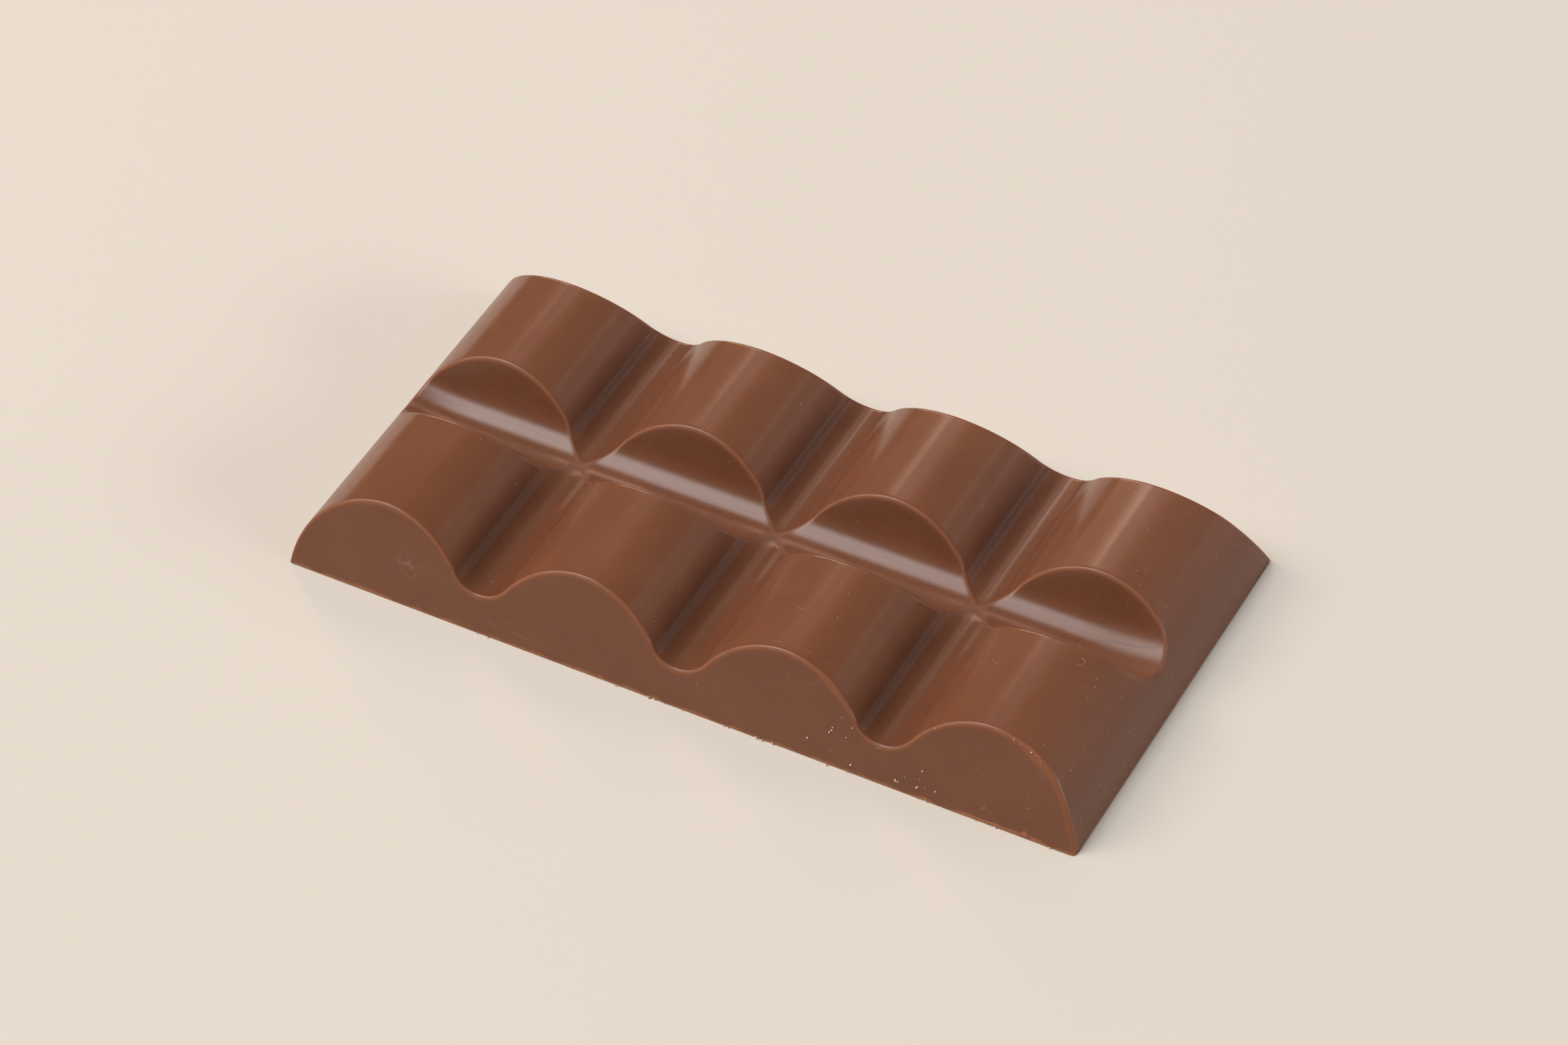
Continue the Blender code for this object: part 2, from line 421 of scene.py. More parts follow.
class Nodes:
    """A new material, and short ways to add the nodes that it is made of."""

    def __init__(self, name):
        """Start the material, and find each place in the piece's own coordinates."""
        self.material = bpy.data.materials.new(name)
        self.material.use_nodes = True
        self.tree = self.material.node_tree
        self.place = self.add("ShaderNodeTexCoord").outputs["Object"]

    def give(self, node, inputs):
        """The node, once each input has its value or its link to another node."""
        for key, value in inputs.items():
            if isinstance(value, bpy.types.NodeSocket):
                self.tree.links.new(value, node.inputs[key])
            else:
                node.inputs[key].default_value = value
        return node

    def add(self, kind, fields=None, inputs=None):
        """A new node with the given fields and inputs."""
        node = self.tree.nodes.new(kind)
        for name, value in (fields or {}).items():
            setattr(node, name, value)
        return self.give(node, inputs or {})

    def surface(self, looks):
        """The material, once its surface has the given looks."""
        self.give(self.tree.nodes["Principled BSDF"], looks)
        return self.material

    def calc(self, operation, first, second):
        """Result of one step of arithmetic."""
        node = self.add("ShaderNodeMath", {"operation": operation}, {0: first, 1: second})
        return node.outputs[0]

    def times(self, first, second):
        """Product of two values."""
        return self.calc("MULTIPLY", first, second)

    def plus(self, first, second):
        """Sum of two values."""
        return self.calc("ADD", first, second)

    def minus(self, first, second):
        """The first value less the second."""
        return self.calc("SUBTRACT", first, second)

    def most(self, highest, *others):
        """Highest of several values."""
        for value in others:
            highest = self.calc("MAXIMUM", highest, value)
        return highest

    def vector(self, operation, first, second):
        """Result of arithmetic on two places, which is a place or a single value."""
        node = self.add("ShaderNodeVectorMath", {"operation": operation}, {0: first, 1: second})
        return node.outputs["Value" if operation in ("DOT_PRODUCT", "DISTANCE") else "Vector"]

    def ramp(self, value, start, stop, low=0.0, high=1.0):
        """Smooth change from low to high while the value goes from start to stop."""
        inputs = {"Value": value, "From Min": start, "From Max": stop, "To Min": low, "To Max": high}
        node = self.add("ShaderNodeMapRange", {"interpolation_type": "SMOOTHSTEP"}, inputs)
        return node.outputs[0]

    def noise(self, spread, detail, seed=0.0):
        """Noise from 0 to 1 whose features have the given size along each axis, in millimetres."""
        scale = tuple(1 / (size * MM) for size in spread)
        inputs = {"Vector": self.place, "Location": (seed, 0.0, 0.0), "Scale": scale}
        moved = self.add("ShaderNodeMapping", inputs=inputs).outputs[0]
        inputs = {"Vector": moved, "Scale": 1.0, "Detail": detail, "Roughness": NOISE_ROUGHNESS}
        return self.add("ShaderNodeTexNoise", inputs=inputs).outputs["Fac"]

    def blend(self, share, first, second):
        """Colour that goes from the first to the second as the share goes from 0 to 1."""
        node = self.add("ShaderNodeMix", {"data_type": "RGBA"}, {0: share, 6: first, 7: second})
        return node.outputs[2]

    def bump(self, height, size, strength=1.0):
        """Direction of a surface with a low relief, whose size is in millimetres."""
        inputs = {"Strength": strength, "Distance": size * MM, "Height": height}
        return self.add("ShaderNodeBump", inputs=inputs).outputs[0]

    def attribute(self, name):
        """One of the marks that the mesh carries."""
        return self.add("ShaderNodeAttribute", {"attribute_name": name}).outputs["Fac"]

    def spot(self, centre, reach):
        """1 at a place, falling smoothly to 0 at the reach along each axis, in millimetres."""
        scale = tuple(1 / (size * MM) for size in reach)
        moved = self.vector("SUBTRACT", self.place, tuple(c * MM for c in centre))
        sized = self.vector("MULTIPLY", moved, scale)
        return self.ramp(self.vector("DISTANCE", sized, (0.0, 0.0, 0.0)), 1.0, 0.0)

    def stroke(self, start, stop, width):
        """1 on a straight line between two places, in millimetres."""
        start, stop = Vector(start) * MM, Vector(stop) * MM
        along = stop - start
        moved = self.vector("SUBTRACT", self.place, start)
        share = self.vector("DOT_PRODUCT", moved, along / along.length_squared)
        share = self.add("ShaderNodeClamp", inputs={"Value": share}).outputs[0]
        distance = self.vector("DISTANCE", moved, self.vector("MULTIPLY", along, share))
        return self.ramp(distance, width * MM, STROKE_CORE * width * MM)

    def specks(self, spacing, size, share):
        """1 on small specks: typical spacing and size, and the share of cells that have one."""
        inputs = {"Vector": self.place, "Scale": 1 / (spacing * MM), "Randomness": 1.0}
        cells = self.add("ShaderNodeTexVoronoi", {"feature": "F1"}, inputs)
        chance = self.add("ShaderNodeSeparateColor", inputs={"Color": cells.outputs["Color"]})
        picked = self.calc("LESS_THAN", chance.outputs[0], share)
        close = self.ramp(cells.outputs["Distance"], size / spacing, SPECK_CORE * size / spacing)
        return self.times(close, picked)


# Colours of the milk chocolate, with the deep brown of its painted shade and the orange of its painted
# glow
# Painted shade: the deep brown that the hollows, the steep flanks that face left and the crease are
# darkened towards
PAINTED_SHADE_BROWN = (0.105, 0.034, 0.014, 1.0)
LIGHTER = (0.243, 0.0955, 0.0482, 1.0)
DARKER = (0.212, 0.080, 0.0388, 1.0)
# Painted glow: the orange of the rims, standing in for the light that the rounded rims let through and
# catch
PAINTED_RIM_GLOW = (0.400, 0.140, 0.058, 1.0)
# Painted glow: the bright orange of the foot's line, of the flash and of the drop, standing in for the
# light that the thin foot lets through
PAINTED_EDGE_GLOW = (0.520, 0.210, 0.095, 1.0)
BLOOM = (0.390, 0.230, 0.165, 1.0)
SPECK = (0.62, 0.45, 0.34, 1.0)
# Painted shade: the near-black brown of the pits, which have no relief of their own
PIT = (0.060, 0.020, 0.011, 1.0)

# Its roughness: glossy top, duller towards the right end from one place along X to another,
# softer groove, satin sides and flanks, worn rims
TOP_ROUGHNESS = 0.16
END_ROUGHNESS = 0.26
GROOVE_ROUGHNESS = 0.27
WALL_ROUGHNESS = 0.30
FLANK_ROUGHNESS = 0.30
RIM_ROUGHNESS = 0.60
SPECK_ROUGHNESS = 0.55
DULLER_END = (37.0, 43.0)

# How much light goes into the chocolate, and how far each colour travels, in millimetres
GLOW_SHARE = 0.8
DEPTH_OF_GLOW = (0.60, 0.28, 0.13)

# Patterns: size of their features along each axis, number of finer layers, and a seed
CLOUDS = ((7.0, 9.0, 6.0), 3.0)
GRAIN = ((0.16, 0.16, 0.16), 2.0, 3.0)
LINES_ACROSS = ((0.30, 22.0, 0.5), 2.0, 7.0)
LINES_ALONG = ((24.0, 0.22, 0.35), 2.0, 11.0)
FOOT_PATCHES = ((2.4, 40.0, 40.0), 3.0, 5.0)
RUBBED_PATCHES = ((0.5, 0.5, 0.5), 4.0, 13.0)
DRAWN_DUST = ((0.14, 3.0, 1.1), 3.0, 17.0)
BREAKS = ((0.5, 0.5, 0.5), 2.0, 19.0)

# Stretches of a pattern over which it goes from nothing to full
TONE_RANGE = (0.60, 1.24)
FOOT_RANGE = (0.3, 0.75)
RUBBED_RANGE = (0.42, 0.68)
DRAWN_RANGE = (0.56, 0.74)
BREAK_RANGE = (0.38, 0.5)

# Shares of the patterns in the tone
CLOUD_SHARE = 0.9
LINE_SHARE = 0.12
GRAIN_SHARE = 0.85

# Shares of the deep brown of the painted shade, and of the orange of the painted glow at the rims
HOLLOW_SHADE = 0.38
GROOVE_HOLLOW_SHADE = 0.15
FLANK_SHADE = 0.20
# Painted shade in the fine crease
CREASE_SHADE = 0.7
RIM_GLOW = 0.48

# Places across the bar over which the near side starts, and over which the rims start to get their
# painted glow. The groove's near rim lies between the last two and gets no painted glow.
NEAR_SIDE_START = (0.0, -10.0)
FAR_GLOW_START = (-0.5, 0.5)
NEAR_GLOW_START = (-8.0, -10.0)

# The foot's orange line of painted glow: its uneven height, how softly it ends, its share away from
# the near side, and a brighter flash of the same painted glow with a drop on it near the right end
FOOT_LINE_HEIGHT = (0.10, 0.45)
FOOT_LINE_SOFTNESS = 0.20
FOOT_ELSEWHERE = 0.25
FOOT_GLOW = 0.6
FLASH = ((36.5, -24.85, 0.30), (45.8, -24.75, 0.42), 0.10)
FLASH_GLOW = 0.6
DROP = ((43.9, -24.7, 0.5), (0.5, 0.6, 0.5))
DROP_GLOW = 0.9

# Pale bloom: a rubbed patch near the left end, and dust below the rim of the last crest, each with
# its centre and its reach, and the shares of both and of the scratches
RUBBED = ((-34.6, -23.0, 4.5), (2.6, 3.0, 2.4))
DUSTY = (((35.5, -21.5, 8.2), (5.2, 4.0, 2.6)), ((43.2, -21.8, 7.2), (3.6, 4.0, 3.0)))
RUBBED_BLOOM = 0.5
DUSTY_BLOOM = 0.30
SCRATCH_BLOOM = 0.45

# Scratches on the near side and strokes on the top: start, stop and width
SCRATCHES = (
    ((-23.9, -24.2, 1.64), (-22.5, -24.3, 1.50), 0.10),
    ((-20.8, -24.3, 1.51), (-10.7, -24.6, 0.85), 0.06),
    ((15.5, -21.8, 7.4), (18.1, -21.1, 9.1), 0.06),
    ((10.2, -19.5, 10.2), (12.3, -19.3, 10.45), 0.09),
    ((14.2, -19.15, 10.35), (15.3, -19.25, 10.2), 0.09),
    ((16.9, -19.25, 9.7), (17.5, -19.1, 9.45), 0.09),
    ((8.0, 4.0, 7.3), (9.6, 4.2, 8.3), 0.05),
)

# A fine crease near the groove's right end, darkened with painted shade: places along X and Y that
# it passes through
CREASE = ((41.4, 1.8), (44.0, 1.9), (46.4, 2.25))
CREASE_WIDTH = 0.16

# Loose dust, with more of it towards the right end, and a few pits, which are dark spots of painted
# shade: spacing, size and share of cells, and the places along X between which the share grows
FINE_DUST = (1.05, 0.11)
COARSE_DUST = (2.9, 0.15, 0.15)
DUST_GROWTH = (24.0, 48.0)
DUST_CROWD = (0.08, 0.75)
DUST_SHARE = 0.36
PITS = (2.3, 0.08, 0.05)

# How strongly the lines show in the gloss, on the top and in the groove
LINE_MEAN = 0.5
TOP_STREAKS = 0.02
GROOVE_STREAKS = 0.06

# Low relief: the height of one unit, and the units of each pattern and mark
RELIEF_HEIGHT = 0.0006
TOP_LINE_RELIEF = 0.12
GROOVE_LINE_RELIEF = 0.15
GRAIN_RELIEF = 0.2
SCRATCH_DEPTH = 2.0
CREASE_DEPTH = 8.0


class Chocolate(Nodes):
    """The milk chocolate: the zones and patterns it has, and the steps that make its looks."""

    def __init__(self):
        """Read the zones from the mesh's marks, and make what several steps use."""
        super().__init__("milk_chocolate")
        axes = self.add("ShaderNodeSeparateXYZ", inputs={"Vector": self.place})
        self.x, self.y, self.z = axes.outputs
        self.rim = self.attribute("rim")
        self.groove = self.attribute("groove")
        self.wall = self.attribute("wall")
        self.flank = self.attribute("flank")
        self.hollow = self.attribute("hollow")
        self.near = self.times(self.wall, self.between(self.y, NEAR_SIDE_START))
        self.grain = self.noise(*GRAIN)
        self.lines = self.polish_lines()
        self.scratched = self.most(*(self.stroke(*scratch) for scratch in SCRATCHES))
        self.crease = self.fine_crease()
        self.dust = self.loose_dust()

    def between(self, value, places, low=0.0, high=1.0):
        """Smooth change from low to high between two places along an axis, in millimetres."""
        start, stop = places
        return self.ramp(value, start * MM, stop * MM, low, high)

    def by_groove(self, outside, inside):
        """One value outside the groove, another inside it."""
        return self.ramp(self.groove, 0.0, 1.0, outside, inside)

    def polish_lines(self):
        """Drawn-out lines that a polished mould leaves: across the top, and along the groove."""
        across = self.noise(*LINES_ACROSS)
        along = self.noise(*LINES_ALONG)
        return self.plus(across, self.times(self.groove, self.minus(along, across)))

    def fine_crease(self):
        """1 on the crease in the groove."""
        places = [on_groove(x, y) for x, y in CREASE]
        return self.most(*(self.stroke(a, b, CREASE_WIDTH) for a, b in zip(places, places[1:])))

    def loose_dust(self):
        """1 on specks of dust."""
        crowd = self.between(self.x, DUST_GROWTH, *DUST_CROWD)
        return self.most(self.specks(*FINE_DUST, crowd), self.specks(*COARSE_DUST))

    def plain_colour(self):
        """The chocolate's own colour, with faint clouds, fine grain and lines."""
        tone = self.times(self.noise(*CLOUDS), CLOUD_SHARE)
        tone = self.plus(tone, self.times(self.lines, LINE_SHARE))
        tone = self.plus(tone, self.times(self.grain, GRAIN_SHARE))
        return self.blend(self.ramp(tone, *TONE_RANGE), DARKER, LIGHTER)

    def shaded(self, colour):
        """Painted shade: darker in the hollows and on the steep flanks that face left."""
        shade = self.times(self.hollow, self.by_groove(HOLLOW_SHADE, GROOVE_HOLLOW_SHADE))
        shade = self.plus(shade, self.times(self.flank, FLANK_SHADE))
        return self.blend(shade, colour, PAINTED_SHADE_BROWN)

    def glowing(self, colour):
        """Painted glow: more orange at the rims and the foot, standing in for the light that they let
        through.
        """
        # Painted glow on the rims, except on the groove's near rim
        showing = self.most(self.between(self.y, FAR_GLOW_START), self.between(self.y, NEAR_GLOW_START))
        rims = self.times(self.times(self.rim, showing), RIM_GLOW)
        colour = self.blend(rims, colour, PAINTED_RIM_GLOW)

        # Painted glow along the foot, and on the flash and the drop near the right end
        low, high = FOOT_LINE_HEIGHT
        line = self.ramp(self.noise(*FOOT_PATCHES), *FOOT_RANGE, low * MM, high * MM)
        edge = (FOOT_LINE_SOFTNESS, -FOOT_LINE_SOFTNESS)
        foot = self.between(self.minus(self.z, line), edge)
        foot = self.times(foot, self.ramp(self.near, 0.0, 1.0, FOOT_ELSEWHERE, 1.0))
        flash = self.stroke(*FLASH)
        drop = self.spot(*DROP)
        for mark, share in ((foot, FOOT_GLOW), (flash, FLASH_GLOW), (drop, DROP_GLOW)):
            colour = self.blend(self.times(mark, share), colour, PAINTED_EDGE_GLOW)
        return colour

    def bloomed(self, colour):
        """Pale where it is rubbed, where dust is drawn down from the rim, and on the scratches."""
        patchy = self.ramp(self.noise(*RUBBED_PATCHES), *RUBBED_RANGE)
        rubbed = self.times(self.spot(*RUBBED), patchy)
        drawn = self.ramp(self.noise(*DRAWN_DUST), *DRAWN_RANGE)
        dusty = self.plus(*(self.spot(*spot) for spot in DUSTY))
        dusty = self.times(self.times(dusty, self.near), drawn)
        broken = self.ramp(self.noise(*BREAKS), *BREAK_RANGE)
        scratched = self.times(self.scratched, broken)
        bloom = self.most(self.times(rubbed, RUBBED_BLOOM), self.times(dusty, DUSTY_BLOOM),
                          self.times(scratched, SCRATCH_BLOOM))
        return self.blend(bloom, colour, BLOOM)

    def specked(self, colour):
        """With the painted shade in the crease and in the pits, and the specks of dust."""
        # Painted shade in the crease
        colour = self.blend(self.times(self.crease, CREASE_SHADE), colour, PAINTED_SHADE_BROWN)
        colour = self.blend(self.times(self.dust, DUST_SHARE), colour, SPECK)
        # Painted shade in the pits on the near side
        return self.blend(self.times(self.specks(*PITS), self.near), colour, PIT)

    def roughness(self):
        """Roughness of the top, streaked by the lines and changed in each zone."""
        streaks = self.minus(self.lines, LINE_MEAN)
        rough = self.times(streaks, self.by_groove(TOP_STREAKS, GROOVE_STREAKS))
        rough = self.plus(rough, self.between(self.x, DULLER_END, TOP_ROUGHNESS, END_ROUGHNESS))
        zones = ((self.groove, GROOVE_ROUGHNESS), (self.wall, WALL_ROUGHNESS),
                 (self.flank, FLANK_ROUGHNESS), (self.rim, RIM_ROUGHNESS), (self.dust, SPECK_ROUGHNESS))
        for zone, value in zones:
            rough = self.plus(rough, self.times(zone, value - TOP_ROUGHNESS))
        return rough

    def relief(self):
        """Lines and grain, with the scratches and the crease cut into them."""
        height = self.times(self.lines, self.by_groove(TOP_LINE_RELIEF, GROOVE_LINE_RELIEF))
        height = self.plus(height, self.times(self.grain, GRAIN_RELIEF))
        height = self.minus(height, self.times(self.scratched, SCRATCH_DEPTH))
        height = self.minus(height, self.times(self.crease, CREASE_DEPTH))
        return self.bump(height, RELIEF_HEIGHT)


def chocolate_material():
    """Moulded milk chocolate."""
    chocolate = Chocolate()
    colour = chocolate.shaded(chocolate.plain_colour())
    colour = chocolate.glowing(colour)
    colour = chocolate.bloomed(colour)
    colour = chocolate.specked(colour)
    return chocolate.surface({
        "Base Color": colour,
        "Roughness": chocolate.roughness(),
        "Normal": chocolate.relief(),
        "Subsurface Weight": GLOW_SHARE,
        "Subsurface Radius": DEPTH_OF_GLOW,
        "Subsurface Scale": MM,
    })


def placed(name, data):
    """A new object in the scene."""
    piece = bpy.data.objects.new(name, data)
    bpy.context.scene.collection.objects.link(piece)
    return piece


# The floor reaches far past the bar and lies just below its back
FLOOR_REACH = 2000.0
FLOOR_DROP = 0.02
FLOOR_COLOUR = (0.78, 0.735, 0.668, 1.0)
FLOOR_ROUGHNESS = 0.6


def floor():
    """A plain pale floor, far larger than the bar."""
    r = FLOOR_REACH * MM
    mesh = bpy.data.meshes.new("floor")
    mesh.from_pydata([(-r, -r, 0), (r, -r, 0), (r, r, 0), (-r, r, 0)], [], [(0, 1, 2, 3)])
    looks = {"Base Color": FLOOR_COLOUR, "Roughness": FLOOR_ROUGHNESS}
    mesh.materials.append(Nodes("pale_floor").surface(looks))
    piece = placed("floor", mesh)
    piece.location.z = -FLOOR_DROP * MM


def aimed(target, azimuth, elevation, roll, distance):
    """Matrix of a lamp or camera that looks at a target from a direction, given in degrees."""
    azimuth, elevation, roll = (math.radians(angle) for angle in (azimuth, elevation, roll))
    outward = Vector((math.cos(azimuth), math.sin(azimuth), 0.0))
    towards = math.cos(elevation) * outward + Vector((0.0, 0.0, math.sin(elevation)))
    level = Vector((-math.sin(azimuth), math.cos(azimuth), 0.0))
    upright = towards.cross(level)
    across = math.cos(roll) * level + math.sin(roll) * upright
    along = math.cos(roll) * upright - math.sin(roll) * level
    turn = Matrix((across, along, towards)).transposed().to_4x4()
    return Matrix.Translation(target + towards * distance * MM) @ turn


# Far softboxes: azimuth, elevation, roll, half width and half height in degrees as seen from the
# bar, then the colour and strength of their glow
LIGHT_DISTANCE = 4000.0
LIGHTS = {
    "key": (-157.0, 61.0, -20.0, 22.0, 12.0, (6.15, 6.1, 6.05)),
    "left_low": (-162.0, 37.0, -4.0, 16.0, 10.0, (6.6, 5.7, 4.7)),
    "right_low": (5.5, 17.0, 0.0, 20.0, 5.5, (8.2, 8.2, 8.0)),
    "window": (128.5, 25.0, 22.0, 3.5, 16.5, (5.0, 3.4, 2.5)),
    "window_top": (119.0, 37.0, 21.0, 4.0, 8.0, (1.1, 0.9, 0.9)),
    "high_window": (106.0, 44.5, 14.0, 6.5, 4.5, (0.95, 0.6, 0.45)),
    "back": (84.0, 45.0, 10.0, 24.0, 4.5, (0.75, 0.5, 0.42)),
    "sheen": (47.0, 33.0, -28.0, 5.0, 10.0, (0.3, 0.33, 0.34)),
    "back_right": (49.0, 12.0, -14.0, 6.0, 14.0, (1.34, 1.12, 1.16)),
}
AMBIENT = (0.07, 0.07, 0.07, 1.0)


def softbox(name, azimuth, elevation, roll, half_width, half_height, glow):
    """A rectangular light that faces the bar and fills the given angles as seen from it."""
    light = bpy.data.lights.new(name, "AREA")
    light.shape = "RECTANGLE"
    light.size = 2 * LIGHT_DISTANCE * MM * math.tan(math.radians(half_width))
    light.size_y = 2 * LIGHT_DISTANCE * MM * math.tan(math.radians(half_height))
    brightest = max(glow)
    light.energy = math.pi * light.size * light.size_y * brightest
    light.color = [c / brightest for c in glow]
    lamp = placed(name, light)
    lamp.matrix_world = aimed(Vector(), azimuth, elevation, roll, LIGHT_DISTANCE)


def studio():
    """The softboxes, in a room with very little light of its own."""
    world = bpy.data.worlds.new("soft_room")
    world.use_nodes = True
    background = world.node_tree.nodes["Background"]
    background.inputs["Color"].default_value = AMBIENT
    background.inputs["Strength"].default_value = 1.0
    bpy.context.scene.world = world
    for name, values in LIGHTS.items():
        softbox(name, *values)
    bpy.context.scene.view_settings.view_transform = "Standard"


# The photo's camera: its focal length in the photo's own pixels, and a 36 mm wide sensor
FOCAL_PIXELS = 7932.0
FRAME_PIXELS = 2352.0
SENSOR = 36.0
CAMERA_AZIMUTH = -59.1
CAMERA_ELEVATION = 45.2
CAMERA_ROLL = -3.3
CAMERA_DISTANCE = 605.0
CAMERA_TARGET = (-2.2, 5.73, 0.0)
NEAREST_SEEN = 10.0


def camera():
    """The camera that the photo was taken with."""
    data = bpy.data.cameras.new("camera")
    data.sensor_width = SENSOR
    data.lens = FOCAL_PIXELS / FRAME_PIXELS * SENSOR
    data.clip_start = NEAREST_SEEN * MM
    eye = placed("camera", data)
    target = Vector(CAMERA_TARGET) * MM
    eye.matrix_world = aimed(target, CAMERA_AZIMUTH, CAMERA_ELEVATION, CAMERA_ROLL, CAMERA_DISTANCE)
    bpy.context.scene.camera = eye


def moulded_bar():
    """The bar with its fine surface, in place of the plain solid."""
    mesh = chocolate_mesh()
    mesh.materials.append(chocolate_material())
    piece = placed("moulded_bar", mesh)
    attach(piece, "root")
    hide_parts("chocolate_bar")


# Crumbs stuck to the near side: place along X, height and size
LARGE_CRUMBS = (
    (19.45, 3.55, 0.42), (19.7, 3.85, 0.34), (19.75, 4.2, 0.22), (17.0, 2.1, 0.32),
    (28.1, 1.05, 0.34), (28.4, 1.0, 0.26), (22.6, 0.9, 0.24), (31.0, 3.1, 0.30),
    (30.7, 1.15, 0.28), (32.9, 1.45, 0.22), (22.0, 4.9, 0.20),
)

# Drifts of smaller ones: place along X, height, their spreads, and how many
CRUMB_DRIFTS = (
    (20.5, 5.9, 0.35, 0.30, 2), (21.8, 2.6, 2.4, 0.9, 5), (30.4, 1.8, 1.1, 0.6, 8),
    (37.8, 1.6, 0.9, 0.3, 2), (16.0, 7.4, 0.5, 0.5, 1), (-2.0, 2.6, 9.0, 0.9, 2),
)
SMALL_CRUMB = (0.08, 0.17)
LOWEST_CRUMB = 0.3

# Chips just below the near rim: place along X and size
RIM_CHIPS = (
    (40.7, 0.16), (41.6, 0.13), (42.9, 0.20), (43.4, 0.14), (31.6, 0.17), (-9.6, 0.13), (44.1, 0.12),
)
CHIP_DROP = 0.15

# Grains along the near foot, more of them towards the right end
FOOT_GRAINS = 26
FOOT_START = -36.0
FOOT_END = 49.0
FOOT_CROWDING = 0.62
FOOT_GRAIN = (0.12, 0.30)
FOOT_GRAIN_OUT = (0.0, 0.15)
FOOT_GRAIN_LIFT = (0.4, 1.0)

# Shape of one crumb: stretch along its axes, and unevenness of its radius
CRUMB_STRETCH = (0.45, 1.3)
CRUMB_UNEVENNESS = (0.7, 1.2)
CRUMB_SEED = 11

# Looks of the crumbs
CRUMB_PATCHES = ((0.12, 0.12, 0.12), 3.0)
CRUMB_DARK = (0.60, 0.40, 0.28, 1.0)
CRUMB_PALE = (0.90, 0.76, 0.64, 1.0)
CRUMB_ROUGHNESS = (0.45, 0.75)
CRUMB_RELIEF = 0.01
CRUMB_RELIEF_STRENGTH = 0.6
CRUMB_GLOW_SHARE = 0.5
CRUMB_GLOW_SCALE = 0.2


def add_crumb(bm, rng, where, size):
    """A broken flake: a ball with an uneven radius, stretched and turned at random."""
    ball = bmesh.ops.create_icosphere(bm, subdivisions=2, radius=size / 2 * MM)
    turn = Euler(rng.uniform(0.0, 2 * math.pi, 3)).to_matrix()
    stretch = Vector(rng.uniform(*CRUMB_STRETCH, 3))
    for vert in ball["verts"]:
        vert.co = turn @ (vert.co * stretch * rng.uniform(*CRUMB_UNEVENNESS)) + where * MM


def crumb_material():
    """Pale broken chocolate, lighter where it is thin."""
    nodes = Nodes("crumbs")
    shade = nodes.noise(*CRUMB_PATCHES)
    return nodes.surface({
        "Base Color": nodes.blend(nodes.ramp(shade, *PATCH_RANGE), CRUMB_DARK, CRUMB_PALE),
        "Roughness": nodes.ramp(shade, *WIDE_PATCH_RANGE, *CRUMB_ROUGHNESS),
        "Normal": nodes.bump(shade, CRUMB_RELIEF, CRUMB_RELIEF_STRENGTH),
        "Subsurface Weight": CRUMB_GLOW_SHARE,
        "Subsurface Radius": DEPTH_OF_GLOW,
        "Subsurface Scale": CRUMB_GLOW_SCALE * MM,
    })


def mesh_from(bm, name):
    """The finished mesh of a bmesh, which isn't needed after."""
    mesh = bpy.data.meshes.new(name)
    bm.to_mesh(mesh)
    bm.free()
    return mesh


def crumbs():
    """Crumbs on the near side, chips on its rim and grains along its foot."""
    rng = np.random.default_rng(CRUMB_SEED)
    bm = bmesh.new()
    for x, z, size in LARGE_CRUMBS:
        add_crumb(bm, rng, on_near_side(x, z), size)
    for x, z, spread_x, spread_z, count in CRUMB_DRIFTS:
        for _ in range(count):
            crumb_x = x + spread_x * rng.normal()
            crumb_z = max(LOWEST_CRUMB, z + spread_z * rng.normal())
            add_crumb(bm, rng, on_near_side(crumb_x, crumb_z), rng.uniform(*SMALL_CRUMB))
    for x, size in RIM_CHIPS:
        add_crumb(bm, rng, on_near_side(x, float(wave(x)) - CHIP_DROP), size)
    for _ in range(FOOT_GRAINS):
        x = FOOT_START + (FOOT_END - FOOT_START) * rng.uniform() ** FOOT_CROWDING
        size = rng.uniform(*FOOT_GRAIN)
        y = -WIDTH / 2 - rng.uniform(*FOOT_GRAIN_OUT)
        z = rng.uniform(*FOOT_GRAIN_LIFT) * size
        add_crumb(bm, rng, Vector((x, y, z)), size)
    mesh = mesh_from(bm, "crumbs")
    mesh.materials.append(crumb_material())
    piece = placed("crumbs", mesh)
    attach(piece, "root")


# Loose fibres: places along X and Y on the top that each one passes through
FIBRES = (
    ((41.78, -6.60), (42.15, -6.66), (42.34, -6.95), (42.21, -7.46), (41.98, -7.70), (41.70, -7.86)),
    ((10.68, -13.84), (11.05, -13.98), (11.50, -13.98), (12.00, -13.93)),
    ((32.89, -10.38), (33.30, -10.80), (33.73, -11.05), (34.10, -11.13)),
    ((15.20, -13.10), (15.42, -13.28), (15.40, -13.42), (15.28, -13.52)),
)
FIBRE_RADIUS = 0.022
FIBRE_SIDES = 6
FIBRE_STEPS = 5
FIBRE_PATCHES = ((0.25, 0.25, 0.25), 2.0)
FIBRE_DARK = (0.30, 0.20, 0.145, 1.0)
FIBRE_PALE = (0.56, 0.44, 0.35, 1.0)
FIBRE_ROUGHNESS = 0.6
UP = Vector((0.0, 0.0, 1.0))


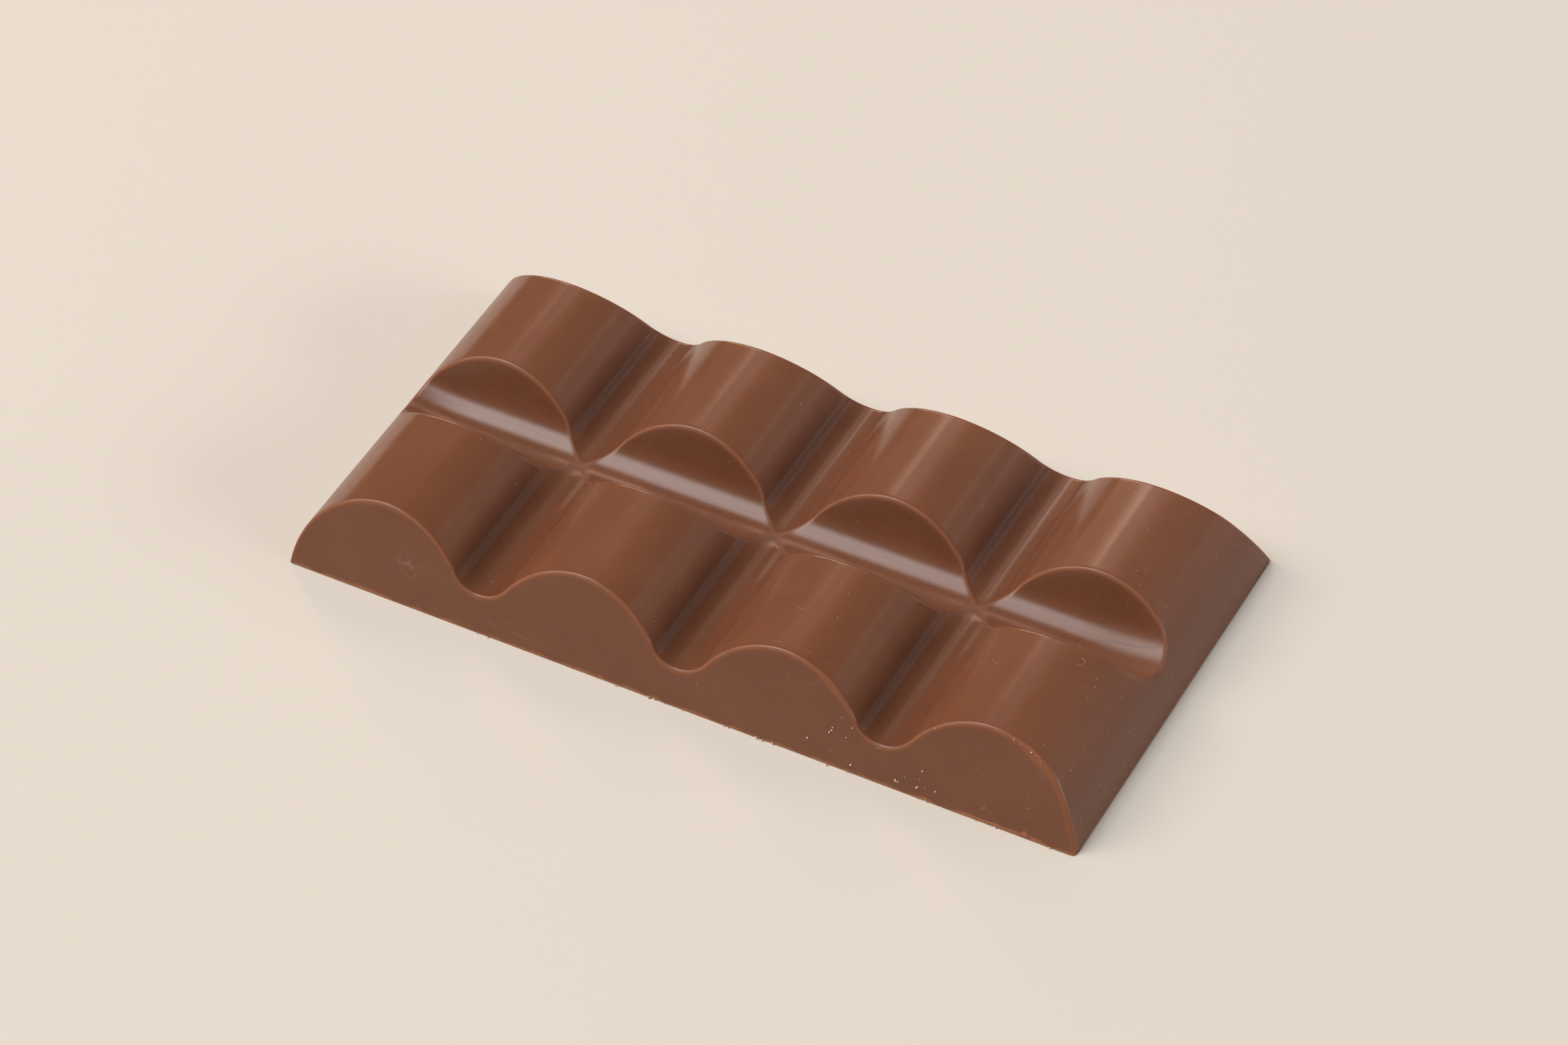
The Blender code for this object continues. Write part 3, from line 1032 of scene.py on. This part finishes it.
def curve_point(a, b, c, d, t):
    """Place between b and c on the smooth curve through four places."""
    bend = 2 * a - 5 * b + 4 * c - d
    twist = 3 * b - a - 3 * c + d
    return 0.5 * (2 * b + (c - a) * t + bend * t ** 2 + twist * t ** 3)


def fibre_path(places):
    """Closely spaced points just above the top, on a smooth curve through the places."""
    ends = [2 * Vector(places[0]) - Vector(places[1])] + [Vector(p) for p in places]
    ends.append(2 * ends[-1] - ends[-2])
    path = []
    for a, b, c, d in zip(ends, ends[1:], ends[2:], ends[3:]):
        for i in range(FIBRE_STEPS):
            p = curve_point(a, b, c, d, i / FIBRE_STEPS)
            path.append(on_top(p.x, p.y) + FIBRE_RADIUS * UP)
    return path


def add_tube(bm, path, radius):
    """A thin tube along a path, closed at both ends."""
    rings = []
    for i, point in enumerate(path):
        ahead = (path[min(i + 1, len(path) - 1)] - path[max(i - 1, 0)]).normalized()
        across = ahead.cross(UP).normalized()
        upright = across.cross(ahead)
        ring = []
        for k in range(FIBRE_SIDES):
            turn = 2 * math.pi * k / FIBRE_SIDES
            out = math.cos(turn) * across + math.sin(turn) * upright
            ring.append(bm.verts.new((point + radius * out) * MM))
        rings.append(ring)
    for ring, after in zip(rings, rings[1:]):
        for k in range(FIBRE_SIDES):
            nxt = (k + 1) % FIBRE_SIDES
            bm.faces.new((ring[k], ring[nxt], after[nxt], after[k]))
    bm.faces.new(rings[0][::-1])
    bm.faces.new(rings[-1])


def fibre_material():
    """Pale fibre, browner in places."""
    nodes = Nodes("pale_fibre")
    shade = nodes.ramp(nodes.noise(*FIBRE_PATCHES), *PATCH_RANGE)
    colour = nodes.blend(shade, FIBRE_DARK, FIBRE_PALE)
    return nodes.surface({"Base Color": colour, "Roughness": FIBRE_ROUGHNESS})


def fibres():
    """A few pale fibres that have settled on the top."""
    bm = bmesh.new()
    for places in FIBRES:
        add_tube(bm, fibre_path(places), FIBRE_RADIUS)
    bmesh.ops.recalc_face_normals(bm, faces=bm.faces)
    mesh = mesh_from(bm, "fibres")
    mesh.shade_smooth()
    mesh.materials.append(fibre_material())
    piece = placed("fibres", mesh)
    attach(piece, "root")


camera()
studio()
floor()
moulded_bar()
crumbs()
fibres()
